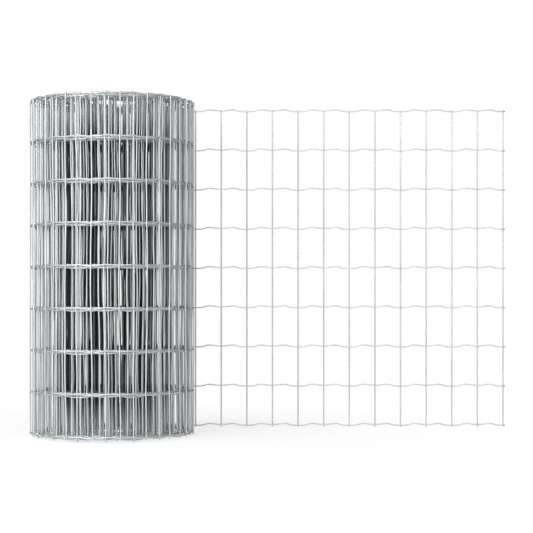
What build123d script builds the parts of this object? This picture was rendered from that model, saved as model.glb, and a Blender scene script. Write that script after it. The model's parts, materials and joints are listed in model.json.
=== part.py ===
from build123d import *
import math
import os

# Roll of welded garden fencing, stood on end, with its free end drawn out flat.
# The roll's axis is Z, its base is Z = 0, and the free end leaves its back towards +X.

# Mesh: upright stays welded on the outer side of the line wires
wire_d = 2.5
stay_sides = 6
line_sides = 4
weld_sink = 0.5
row_pitch = 76.5
row_count = 8
stay_pitch = 50.0
stay_overhang = 2.5

# Crimp of the line wires: level at every second stay, highest halfway between two stays
crimp_height = 3.5
crimp_shoulder = 1.4
crimp_level_reach = 11.0

# Roll: a ridge on its ends for each group of turns, inside the level outermost group
roll_d = 308.0
bore_d = 84.0
turn_count = 24
turns_per_ridge = 4
ridge_depth = 3.0

# Free end
free_stays = 15
stay_lead = 14.9
wire_tail = 4.0

# Worked out from the values above
wire_r = wire_d / 2
roll_r = roll_d / 2
bore_r = bore_d / 2
core_r = roll_r - wire_d
stay_length = row_count * row_pitch + 2 * stay_overhang
row_heights = [stay_overhang + row * row_pitch for row in range(row_count + 1)]
turn_pitch = (core_r - bore_r) / turn_count
ridge_pitch = turns_per_ridge * turn_pitch
ridge_count = turn_count // turns_per_ridge - 1
rim_r = bore_r + ridge_count * ridge_pitch
stay_y = roll_r - wire_r
line_y = stay_y - (wire_d - weld_sink)
first_stay_x = math.sqrt(roll_r**2 - line_y**2) + stay_lead
stay_places = [first_stay_x + stay * stay_pitch for stay in range(free_stays)]


def crimped_line():
    """Side view of a line wire, from the roll's tangent point to its tip past the last stay."""
    points = []
    for stay, x in enumerate(stay_places):
        if stay % 2:
            points.append((x - stay_pitch / 2, crimp_height))
            points.append((x, crimp_shoulder))
            points.append((x + stay_pitch / 2, crimp_height))
        else:
            points.append((x - crimp_level_reach, 0))
            points.append((x + crimp_level_reach, 0))
    tip = (stay_places[-1] + wire_tail, crimp_shoulder if free_stays % 2 == 0 else 0)
    return [(0, 0), *points[1:-1], tip]


def roll_outline():
    """Half section of the wound part, radius and height, up its outside and back down its bore."""
    base = []
    for ridge in range(ridge_count):
        inner_r = bore_r + ridge * ridge_pitch
        base += [(inner_r, 0), (inner_r + ridge_pitch / 2, ridge_depth)]
    base.append((rim_r, 0))
    outside = []
    for height in row_heights:
        outside += [
            (core_r, height - stay_overhang),
            (roll_r, height),
            (core_r, height + stay_overhang),
        ]
    top = [(radius, stay_length - height) for radius, height in reversed(base)]
    return [*base, *outside, *top]


# Wound part: one turned body, with a ring at each row and a ridge for each group of turns
with BuildPart() as wound_roll:
    with BuildSketch(Plane.XZ):
        with BuildLine():
            Polyline(*roll_outline(), close=True)
        make_face()
    revolve(axis=Axis.Z)

# One line wire, swept along its crimps
with BuildPart() as line_wire:
    with BuildLine(Plane.XZ):
        Polyline(*crimped_line())
    with BuildSketch(Plane.YZ):
        RegularPolygon(wire_r, line_sides, major_radius=False, rotation=180 / line_sides)
    sweep(transition=Transition.RIGHT)

# Free end: stays fused to the line wires, which run tangent to the roll and stop on its rings
with BuildPart() as free_end:
    with BuildSketch():
        with Locations(*[(x, stay_y) for x in stay_places]):
            RegularPolygon(wire_r, stay_sides, major_radius=False)
    extrude(amount=stay_length)
    with Locations(*[(0, line_y, height) for height in row_heights]):
        add(line_wire.part)
    with BuildSketch():
        Circle(roll_r)
    extrude(amount=stay_length, mode=Mode.SUBTRACT)

os.makedirs("parts", exist_ok=True)
wound_roll.part.label = "wound_roll"
export_step(wound_roll.part, "parts/wound_roll.step")
free_end.part.label = "free_end"
export_step(free_end.part, "parts/free_end.step")
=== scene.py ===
import bisect
import json
import math
import bpy
import bmesh
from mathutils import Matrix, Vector, noise


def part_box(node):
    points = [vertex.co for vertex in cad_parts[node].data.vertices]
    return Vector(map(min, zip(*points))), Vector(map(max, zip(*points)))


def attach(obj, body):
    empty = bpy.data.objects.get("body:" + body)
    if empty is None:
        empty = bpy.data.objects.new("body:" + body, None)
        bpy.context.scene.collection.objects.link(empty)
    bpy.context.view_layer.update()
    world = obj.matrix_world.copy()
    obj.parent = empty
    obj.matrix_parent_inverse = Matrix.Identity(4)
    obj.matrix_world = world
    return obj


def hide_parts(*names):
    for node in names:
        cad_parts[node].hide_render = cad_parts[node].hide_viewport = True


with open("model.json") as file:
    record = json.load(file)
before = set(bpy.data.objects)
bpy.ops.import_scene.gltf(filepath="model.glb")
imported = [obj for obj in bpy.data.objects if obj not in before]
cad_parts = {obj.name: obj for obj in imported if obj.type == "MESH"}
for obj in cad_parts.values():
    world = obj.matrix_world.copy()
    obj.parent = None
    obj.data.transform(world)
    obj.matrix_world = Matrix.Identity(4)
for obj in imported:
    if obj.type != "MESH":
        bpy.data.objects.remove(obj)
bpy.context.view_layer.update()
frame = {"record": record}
mm = 0.001

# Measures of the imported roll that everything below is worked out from
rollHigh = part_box("wound_roll")[1]
mounts = {mount["name"]: mount for mount in frame["record"]["mounts"]}
rollRadius = rollHigh.x
boreRadius = mounts["bore"]["dims"]["r_mm"] * mm
stayHeight = rollHigh.z                      # a stay's full length, from the floor
lastStayX = mounts["end_stay"]["pos_m"][0]

mesh = {
    "wire": 2.5 * mm,            # wire diameter
    "weldSink": 0.5 * mm,        # how far a stay is pressed into a line wire
    "rows": 8,
    "cell": 50 * mm,             # between two stays
    "overhang": 2.5 * mm,        # stay past the outer line wire
    "crestHeight": 3.5 * mm,     # crimp, highest half way between two stays
    "shoulderHeight": 1.4 * mm,  # crimp at every second stay
    "crestReach": 25 * mm,       # from a shoulder to the crests beside it
    "levelReach": 11 * mm,       # level run each side of the other stays
    "tail": 4 * mm,              # line wire past the last stay
    "tipShort": 0.1 * mm,        # less at its tip, to stop just inside the solids
    "lineSides": 6,              # sides that draw a round line wire
    "staySides": 8,              # and a round stay
    "mergeWithin": 0.01 * mm,    # points this close become one
}
stayLine = rollRadius - mesh["wire"] / 2                      # Y of the flat stays
lineLine = stayLine - (mesh["wire"] - mesh["weldSink"])       # Y of the flat line wires
flatRow = (stayHeight - 2 * mesh["overhang"]) / mesh["rows"]  # row pitch of the flat end
freeLength = lastStayX + mesh["tail"] - mesh["tipShort"]

winding = {
    "turnPitch": 4.465 * mm,
    "pitchSwing": 0.53 * mm,   # tighter and looser turns
    "swingTurns": 7.4,         # turns from one tightest turn to the next
    "swingPhase": 4.3,         # radians, at the outermost turn
    "stepStart": 2 / 3,        # share of a turn where it starts to step in, and over which it does
    "stepSpan": 0.5,
    "spiralStep": 2,           # degrees between two points of the spiral
    "row": 75.8 * mm,          # the wound rows draw together a little
    "settle": 160 * mm,        # run over which the flat end turns into the wound part
    "frontLift": 6.4 * mm,     # how far the outermost turn climbs to its front
    "liftPower": 3,            # more keeps the climb nearer to the front
    "innerStart": 0.75,        # turns wound where the climb ends, and over which it does
    "innerSpan": 0.5,
    "lean": 2.4 * mm,          # how far the front of the inner turns stands off the floor
    "unevenTop": 4.0 * mm,     # and how unevenly they stand
    "unevenShare": 0.9,        # more leaves fewer turns between the lowest and the highest
    "skew": 3.3 * mm,          # how far a row of all turns drifts against the other rows
    "ownSkew": 1.6 * mm,       # the same in one turn alone
    "stretch": 12.1 * mm,      # how far the give of the crimps moves the stays along the fence
    "dent": 0.9 * mm,          # how far the roll is pressed out of round
    "slack": 0.5 * mm,         # how far a turn lies in from a true spiral
    "stayJitter": 0.4 * mm,    # how far a stay is out of place along the fence
    "staySink": 0.2 * mm,      # and how far in or out
    "bow": 1.1 * mm,           # how far a stay bows between two rows
    "bowIn": 0.5,              # share of its bow that a stay goes inwards as well
    "bowPlaces": (1 / 3, 2 / 3),  # where it bows, as shares of the way up a row
    "crimpKept": 0.7,          # share of the crimps' height that is left in the roll
    "samples": 8,              # points on each line wire for one cell
}

# Noise behind the winding's slow changes: how fast each goes in the ways that its note says,
# and then where in the noise it is read, so that no two go together
drifts = {
    "gain": 1.6,                     # spreads the noise over most of -1 to 1
    "round": 1.3,                    # pace round the roll, for skew and dent
    "skew": (1, 1, 2.6),             # round, and up the roll
    "skewAside": 3,                  # how far aside it is read
    "dent": (1, 1, 1.1),             # the same
    "dentAside": 5,
    "ownSkew": (2.3, 3.1, 7.7),      # along the fence, and up the roll
    "slack": (0.7, 1.3, 2.2),        # the same
    "stretch": (0.9, 3.3, 2.5),      # along the fence
    "uneven": (1.9, 0.3, 57.35),     # from turn to turn
    "stayJitter": (1.7, 0.5, 9.1),   # from stay to stay
    "staySink": (2.3, 4.5, 1.1),     # the same
    "bow": (3.7, 2.9, 6.3),          # from stay to stay, and from row to row
}


def clip(t):
    return min(1.0, max(0.0, t))


def smooth(t):
    t = clip(t)
    return t * t * (3 - 2 * t)


def mix(a, b, t):
    return a + (b - a) * t


# Slow random value from -1 to 1, the same on each run; the ways are those of its line in drifts.
def drift(name, *ways):
    values = drifts[name]
    place = [way * pace for way, pace in zip(ways, values)] + list(values[len(ways):])
    return max(-1.0, min(1.0, drifts["gain"] * noise.noise(Vector(place))))


# The same from 0 to 1.
def driftUp(name, *ways):
    return 0.5 + 0.5 * drift(name, *ways)


# Height of a crimped line wire; along is 0 at the tangent point and grows into the roll.
def crimp(along):
    gap = 2 * mesh["cell"]
    fromLast = (along + lastStayX) % gap          # the last stay is a level one
    fromShoulder = abs(fromLast - mesh["cell"])   # distance to the nearest stay on a shoulder
    crest, level = mesh["crestReach"], mesh["cell"] - mesh["levelReach"]
    if fromShoulder < crest:
        return mix(mesh["shoulderHeight"], mesh["crestHeight"], smooth(fromShoulder / crest))
    return mesh["crestHeight"] * (1 - smooth((fromShoulder - crest) / (level - crest)))


# Turns wound at an angle: a turn is round, and steps in over the one below behind the roll.
def turnsWound(angle):
    turns = angle / (2 * math.pi) - winding["stepStart"]
    return math.floor(turns) + smooth((turns % 1) / winding["stepSpan"])


# The spiral of the line wires from the tangent point inwards: length wound, angle and radius.
def windSpiral():
    step = math.radians(winding["spiralStep"])
    along, angle, radius = 0.0, 0.0, lineLine
    places = [(along, angle, radius)]
    while radius > boreRadius + mesh["wire"] / 2:
        swing = math.sin(angle / winding["swingTurns"] + winding["swingPhase"])
        pitch = winding["turnPitch"] + winding["pitchSwing"] * swing
        radius -= pitch * (turnsWound(angle + step) - turnsWound(angle))
        along += radius * step
        angle += step
        places.append((along, angle, radius))
    return places


spiral = windSpiral()
spiralLengths = [place[0] for place in spiral]
woundLength = spiralLengths[-1]
print("spiral", len(spiral), "points,", round(woundLength, 2), "m wound")


# Angle and radius of the spiral at a length along it.
def onSpiral(along):
    along = min(max(along, 0.0), woundLength)
    i = min(bisect.bisect_right(spiralLengths, along), len(spiral) - 1)
    before, after = spiral[i - 1], spiral[i]
    t = (along - before[0]) / (after[0] - before[0])
    return mix(before[1], after[1], t), mix(before[2], after[2], t)


# How far the fence is lifted in the roll: the outermost turn climbs, the others lean and stand unevenly.
def lifted(angle, radius):
    turns = angle / (2 * math.pi)
    inner = smooth((turns - winding["innerStart"]) / winding["innerSpan"])
    lean = winding["lean"] * (0.5 - 0.5 * math.cos(angle) * radius / rollRadius)
    uneven = winding["unevenTop"] * clip(0.5 + winding["unevenShare"] * drift("uneven", turns))
    climb = winding["frontLift"] * abs(math.sin(angle / 2)) ** winding["liftPower"]
    return mix(climb, lean + uneven, inner)


# Place of a point on the fence: along its length, at a row, and outward of its line wires.
def fencePoint(along, row, outward=0.0, rise=0.0, shake=(0.0, 0.0)):
    if along <= 0:
        return Vector((-along, lineLine + outward, mesh["overhang"] + row * flatRow + rise))
    wound = smooth(along / winding["settle"])
    level = row / mesh["rows"]
    angle, radius = onSpiral(along)
    side = Vector((-math.sin(angle), math.cos(angle), 0)) * drifts["round"]
    slide = winding["skew"] * drift("skew", side.x, side.y + drifts["skewAside"], level)
    slide += winding["stretch"] * drift("stretch", along)
    slide += winding["ownSkew"] * drift("ownSkew", along, level) + shake[0]
    give = winding["slack"] * driftUp("slack", along, level)
    give += winding["dent"] * driftUp("dent", side.x + drifts["dentAside"], side.y, level)
    angle += slide * wound / radius
    radius += outward + (shake[1] - give) * wound
    pitch = mix(flatRow, winding["row"], wound)
    height = mesh["overhang"] + row * pitch + lifted(angle, radius) * wound + rise
    return Vector((-radius * math.sin(angle), radius * math.cos(angle), height))


# One closed piece of round wires along the given runs of points, in place of both solids.
def wirePiece(name, runs, sides, material):
    curve = bpy.data.curves.new(name, "CURVE")
    curve.dimensions = "3D"
    curve.bevel_depth = mesh["wire"] / 2
    curve.bevel_resolution = (sides - 4) // 2     # none gives four sides, and each one two more
    curve.use_fill_caps = True
    for run in runs:
        spline = curve.splines.new("POLY")
        spline.points.add(len(run) - 1)
        for point, place in zip(spline.points, run):
            point.co = (*place, 1)
        spline.use_smooth = True
    former = bpy.data.objects.new(name, curve)
    made = bpy.data.meshes.new_from_object(former)
    bpy.data.objects.remove(former)
    bpy.data.curves.remove(curve)
    bm = bmesh.new()
    bm.from_mesh(made)
    bmesh.ops.remove_doubles(bm, verts=bm.verts, dist=mesh["mergeWithin"])
    bmesh.ops.recalc_face_normals(bm, faces=bm.faces)
    for face in bm.faces:
        face.smooth = len(face.verts) == 4        # the cut ends stay flat
    bm.to_mesh(made)
    bm.free()
    made.name = name
    piece = bpy.data.objects.new(name, made)
    bpy.context.scene.collection.objects.link(piece)
    piece.data.materials.append(material)
    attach(piece, "root")
    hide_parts("wound_roll", "free_end")
    return piece


# Linear colour of an sRGB hex value.
def toLinear(code):
    parts = [int(code[i:i + 2], 16) / 255 for i in (1, 3, 5)]
    return (*[p / 12.92 if p <= 0.04045 else ((p + 0.055) / 1.055) ** 2.4 for p in parts], 1)


# Adds a node; each input is a value, or an output socket to link.
def addNode(tree, kind, settings=None, **inputs):
    node = tree.nodes.new(kind)
    for key, value in (settings or {}).items():
        setattr(node, key, value)
    for key, value in inputs.items():
        socket = node.inputs[int(key[1:])] if key[0] == "_" else node.inputs[key.replace("_", " ")]
        if isinstance(value, bpy.types.NodeSocket):
            tree.links.new(value, socket)
        else:
            socket.default_value = value
    return node


# Gives a colour ramp its stops, each a place and a hex value.
def ramp(node, stops):
    elements = node.color_ramp.elements
    while len(elements) < len(stops):
        elements.new(0.5)
    for element, (place, code) in zip(elements, stops):
        element.position = place
        element.color = toLinear(code)
    return node


zincFinish = {
    "colours": ((0.30, "#aeb2b4"), (0.52, "#babec0"), (0.72, "#c6cacb")),  # along the mottle
    "metallic": 0.65,          # under 1 for the dull skin that zinc gets in the open air
    "roughness": (0.3, 0.44),  # of the glossiest zinc and the dullest
    "mottle": 1 / 140,         # 7.1 mm, patches of lighter and darker zinc
    "frost": 1 / 420,          # 2.4 mm, patches of glossier and duller zinc
    "lumps": 1 / 900,          # 1.1 mm, coarser than the real coat's, so that they show
    "lumpHeight": 0.06 * mm,
    "lumpStrength": 0.4,
    "stayStretch": (1.0, 1.0, 0.12),  # the patterns run long down a stay
    "lineStretch": (0.5, 0.5, 1.0),   # and along a line wire
    # Painted shade deep in the roll, in place of the shadows its turns cast on each other; the line wires
    # keep more of their brightness
    "unshadedDepth": 26 * mm,    # depth in the roll to which the zinc gets no painted shade
    "darkestShadeDepth": 68 * mm,      # and from which the painted shade is darkest
    "endShadeDepth": 75 * mm,       # the same seen in through its open ends
    "darkestShadeStay": 0.05,       # share of its brightness that the painted shade leaves there
    "darkestShadeLine": 0.25,
    "flatTone": 0.91,          # the flat end shows a shade darker than the roll
    "flatReach": 1.3,          # times the roll's radius, from where it is as dark as that
}


# Painted shade in place of the roll's own shadows: the share of the zinc's brightness that is left, full on
# the outside and at the ends of the roll and least deep in it, times a darker tone all along the flat end.
def paintedShadeAndFlatTone(tree, place, darkestShade):
    parts = addNode(tree, "ShaderNodeSeparateXYZ", _0=place)
    flat = addNode(tree, "ShaderNodeCombineXYZ", X=parts.outputs["X"], Y=parts.outputs["Y"])
    radius = addNode(tree, "ShaderNodeVectorMath", {"operation": "LENGTH"}, _0=flat.outputs[0])
    inward = addNode(tree, "ShaderNodeMapRange", {"interpolation_type": "SMOOTHSTEP"},
                     Value=radius.outputs["Value"],
                     From_Min=rollRadius - zincFinish["unshadedDepth"],
                     From_Max=rollRadius - zincFinish["darkestShadeDepth"])
    below = addNode(tree, "ShaderNodeMapRange", {"interpolation_type": "SMOOTHSTEP"},
                    Value=parts.outputs["Z"],
                    From_Min=stayHeight, From_Max=stayHeight - zincFinish["endShadeDepth"])
    above = addNode(tree, "ShaderNodeMapRange", {"interpolation_type": "SMOOTHSTEP"},
                    Value=parts.outputs["Z"], From_Min=0.0, From_Max=zincFinish["endShadeDepth"])
    ends = addNode(tree, "ShaderNodeMath", {"operation": "MULTIPLY"},
                   _0=below.outputs[0], _1=above.outputs[0])
    shadeDepthMask = addNode(tree, "ShaderNodeMath", {"operation": "MULTIPLY"},
                   _0=inward.outputs[0], _1=ends.outputs[0])
    wound = addNode(tree, "ShaderNodeMapRange", Value=shadeDepthMask.outputs[0], To_Min=1.0, To_Max=darkestShade)
    flatEnd = addNode(tree, "ShaderNodeMapRange", Value=radius.outputs["Value"],
                      From_Min=rollRadius, From_Max=zincFinish["flatReach"] * rollRadius,
                      To_Min=1.0, To_Max=zincFinish["flatTone"])
    return addNode(tree, "ShaderNodeMath", {"operation": "MULTIPLY"},
                   _0=wound.outputs[0], _1=flatEnd.outputs[0]).outputs[0]


# Hot-dip galvanised drawn wire: satin zinc, mottled where it froze thick or thin, with painted shade deep in
# the roll.
def galvanisedWire(name, stretch, darkestShade):
    material = bpy.data.materials.new(name)
    material.use_nodes = True
    tree = material.node_tree
    tree.nodes.clear()
    place = addNode(tree, "ShaderNodeTexCoord")
    spread = addNode(tree, "ShaderNodeMapping", _0=place.outputs["Object"], Scale=stretch)
    mottle = addNode(tree, "ShaderNodeTexNoise", Vector=spread.outputs[0],
                     Scale=1 / zincFinish["mottle"], Detail=3.0)
    zinc = ramp(addNode(tree, "ShaderNodeValToRGB", Fac=mottle.outputs[0]), zincFinish["colours"])
    frost = addNode(tree, "ShaderNodeTexNoise", Vector=spread.outputs[0],
                    Scale=1 / zincFinish["frost"], Detail=2.0)
    glossy, dull = zincFinish["roughness"]
    gloss = addNode(tree, "ShaderNodeMapRange", Value=frost.outputs[0], To_Min=glossy, To_Max=dull)
    lumps = addNode(tree, "ShaderNodeTexNoise", Vector=spread.outputs[0],
                    Scale=1 / zincFinish["lumps"], Detail=2.0)
    bump = addNode(tree, "ShaderNodeBump", Height=lumps.outputs[0],
                   Distance=zincFinish["lumpHeight"], Strength=zincFinish["lumpStrength"])
    # painted shade: the zinc colour is darkened deep in the roll, where its turns shadow each other
    zincWithPaintedShade = addNode(tree, "ShaderNodeVectorMath", {"operation": "SCALE"}, _0=zinc.outputs[0],
                     Scale=paintedShadeAndFlatTone(tree, place.outputs["Object"], darkestShade))
    shader = addNode(tree, "ShaderNodeBsdfPrincipled", Base_Color=zincWithPaintedShade.outputs[0],
                     Metallic=zincFinish["metallic"], Roughness=gloss.outputs[0],
                     Normal=bump.outputs[0])
    addNode(tree, "ShaderNodeOutputMaterial", Surface=shader.outputs[0])
    return material


# the stays take the darker painted shade deep in the roll, the line wires a lighter one
stayZinc = galvanisedWire("galvanised stay wire", zincFinish["stayStretch"], zincFinish["darkestShadeStay"])
lineZinc = galvanisedWire("galvanised line wire", zincFinish["lineStretch"], zincFinish["darkestShadeLine"])
print("zinc for stays and line wires")

# Line wires: each runs unbroken from its tip on the flat end to the core of the roll
step = mesh["cell"] / winding["samples"]
count = int((freeLength + woundLength) / step)
lineWires = []
for row in range(mesh["rows"] + 1):
    run = []
    for i in range(count + 1):
        along = i * step - freeLength
        kept = mix(1.0, winding["crimpKept"], smooth(along / winding["settle"]))
        run.append(fencePoint(along, row, rise=kept * crimp(along)))
    lineWires.append(wirePiece(f"lineWire{row + 1}", [run], mesh["lineSides"], lineZinc))
print("line wires", sum(len(p.data.polygons) for p in lineWires))

# Stays: straight on the flat end, leaning and bowed a little in the roll
welded = mesh["wire"] - mesh["weldSink"]
flatRuns, woundRuns = [], []
stay = 0
while True:
    along = stay * mesh["cell"] - lastStayX
    if along > woundLength:
        break
    shake = (winding["stayJitter"] * drift("stayJitter", stay), winding["staySink"] * drift("staySink", stay))
    foot = fencePoint(along, 0, welded, -mesh["overhang"], shake)
    head = fencePoint(along, mesh["rows"], welded, mesh["overhang"], shake)
    run = [foot]
    for row in range(mesh["rows"] + 1):
        run.append(fencePoint(along, row, welded, 0.0, shake))
        if along > 0 and row < mesh["rows"]:
            bow = winding["bow"] * drift("bow", stay, row)
            bowed = (shake[0] + bow, shake[1] - winding["bowIn"] * abs(bow))
            for share in winding["bowPlaces"]:
                run.append(fencePoint(along, row + share, welded, 0.0, bowed))
    run.append(head)
    (flatRuns if along < 0 else woundRuns).append(run)
    stay += 1

for name, runs in (("flatStays", flatRuns), ("woundStays", woundRuns)):
    piece = wirePiece(name, runs, mesh["staySides"], stayZinc)
    print(name, len(runs), "stays", len(piece.data.polygons), "faces")

# Studio: white floor and backdrop, broad soft light from the front left and a weaker one from the right
studio = {
    "keyDirection": (-0.50, -0.79, 0.36),
    "keySpread": (0.30, 0.97),    # cosines from its direction where a light starts and is full
    "keyStrength": 3.3,
    "fillDirection": (0.82, -0.57, 0.10),
    "fillSpread": (0.60, 0.98),
    "fillStrength": 0.8,
    "roomStrength": 0.09,         # light from everywhere
    "backdropSpread": (0.96, 0.985),  # cosines from +Y of the white backdrop that the zinc mirrors
    "floorColour": "#fafafa",
    "floorRadius": 1.15,
    "floorSides": 96,
    "floorCentre": (0.3, 0, 0),
    "floorFade": (0.25, 0.8),     # distances from the roll over which the floor turns to plain white
    "floorShade": 0.25,           # how much of the floor's own shading shows beside the roll
}


# The floor shows a little of the roll's shade beside it, and turns to plain white further out.
def studioFloor():
    bm = bmesh.new()
    bmesh.ops.create_circle(bm, cap_ends=True, segments=studio["floorSides"],
                            radius=studio["floorRadius"])
    bmesh.ops.translate(bm, verts=bm.verts, vec=studio["floorCentre"])
    floorMesh = bpy.data.meshes.new("floor")
    bm.to_mesh(floorMesh)
    bm.free()
    floor = bpy.data.objects.new("floor", floorMesh)
    bpy.context.scene.collection.objects.link(floor)
    material = bpy.data.materials.new("white studio floor")
    material.use_nodes = True
    tree = material.node_tree
    tree.nodes.clear()
    rays = addNode(tree, "ShaderNodeLightPath")
    place = addNode(tree, "ShaderNodeTexCoord")
    seen = addNode(tree, "ShaderNodeMath", {"operation": "MAXIMUM"},
                   _0=rays.outputs["Is Camera Ray"], _1=rays.outputs["Is Glossy Ray"])
    reach = addNode(tree, "ShaderNodeVectorMath", {"operation": "LENGTH"}, _0=place.outputs["Object"])
    near, far = studio["floorFade"]
    fade = addNode(tree, "ShaderNodeMapRange", {"interpolation_type": "SMOOTHSTEP"},
                   Value=reach.outputs["Value"], From_Min=near, From_Max=far,
                   To_Min=1 - studio["floorShade"], To_Max=1.0)
    share = addNode(tree, "ShaderNodeMath", {"operation": "MULTIPLY"},
                    _0=seen.outputs[0], _1=fade.outputs[0])
    paint = addNode(tree, "ShaderNodeBsdfDiffuse", Color=toLinear(studio["floorColour"]))
    glow = addNode(tree, "ShaderNodeEmission", Color=(1, 1, 1, 1), Strength=1.0)
    both = addNode(tree, "ShaderNodeMixShader",
                   _0=share.outputs[0], _1=paint.outputs[0], _2=glow.outputs[0])
    addNode(tree, "ShaderNodeOutputMaterial", Surface=both.outputs[0])
    floorMesh.materials.append(material)


# Two broad soft lights and the room's own; the camera sees white paper, which the zinc mirrors near +Y.
def studioWorld():
    world = bpy.data.worlds.new("studio")
    bpy.context.scene.world = world
    world.use_nodes = True
    tree = world.node_tree
    tree.nodes.clear()
    rays = addNode(tree, "ShaderNodeLightPath")
    way = addNode(tree, "ShaderNodeTexCoord")
    light = studio["roomStrength"]
    for lamp in ("key", "fill"):
        facing = addNode(tree, "ShaderNodeVectorMath", {"operation": "DOT_PRODUCT"},
                         _0=way.outputs["Generated"],
                         _1=Vector(studio[lamp + "Direction"]).normalized())
        start, full = studio[lamp + "Spread"]
        lobe = addNode(tree, "ShaderNodeMapRange", {"interpolation_type": "SMOOTHSTEP"},
                       Value=facing.outputs["Value"], From_Min=start, From_Max=full,
                       To_Min=0.0, To_Max=studio[lamp + "Strength"])
        light = addNode(tree, "ShaderNodeMath", {"operation": "ADD"},
                        _0=lobe.outputs[0], _1=light).outputs[0]
    room = addNode(tree, "ShaderNodeBackground", Color=(1, 1, 1, 1), Strength=light)
    paper = addNode(tree, "ShaderNodeBackground", Color=(1, 1, 1, 1), Strength=1.0)
    behind = addNode(tree, "ShaderNodeVectorMath", {"operation": "DOT_PRODUCT"},
                     _0=way.outputs["Generated"], _1=(0, 1, 0))
    start, full = studio["backdropSpread"]
    backdrop = addNode(tree, "ShaderNodeMapRange", Value=behind.outputs["Value"],
                       From_Min=start, From_Max=full)
    mirrored = addNode(tree, "ShaderNodeMath", {"operation": "MULTIPLY"},
                       _0=rays.outputs["Is Glossy Ray"], _1=backdrop.outputs[0])
    direct = addNode(tree, "ShaderNodeMath", {"operation": "MAXIMUM"},
                     _0=rays.outputs["Is Camera Ray"], _1=rays.outputs["Is Transmission Ray"])
    seen = addNode(tree, "ShaderNodeMath", {"operation": "MAXIMUM"},
                   _0=mirrored.outputs[0], _1=direct.outputs[0])
    both = addNode(tree, "ShaderNodeMixShader",
                   _0=seen.outputs[0], _1=room.outputs[0], _2=paper.outputs[0])
    addNode(tree, "ShaderNodeOutputWorld", Surface=both.outputs[0])


studioFloor()
studioWorld()
print("studio")

# Camera: level, in the photograph's place, with its frame shifted to set the horizon
picture = {
    "side": 533,               # pixels, and so are the next two
    "focal": 1498.5,
    "horizon": 273.9,          # below the top edge
    "distance": 2.773,         # metres in front of the roll's axis
    "x": 0.2847,
    "z": 0.2978,
    "sensor": 36,              # millimetres
}
camera = bpy.data.cameras.new("camera")
camera.sensor_width = picture["sensor"]
camera.lens = picture["focal"] / picture["side"] * camera.sensor_width
camera.shift_y = (picture["horizon"] - picture["side"] / 2) / picture["side"]
eye = bpy.data.objects.new("camera", camera)
bpy.context.scene.collection.objects.link(eye)
eye.location = (picture["x"], -picture["distance"], picture["z"])
eye.rotation_euler = (math.radians(90), 0, 0)
bpy.context.scene.camera = eye
bpy.context.scene.view_settings.view_transform = "Standard"
print("camera")
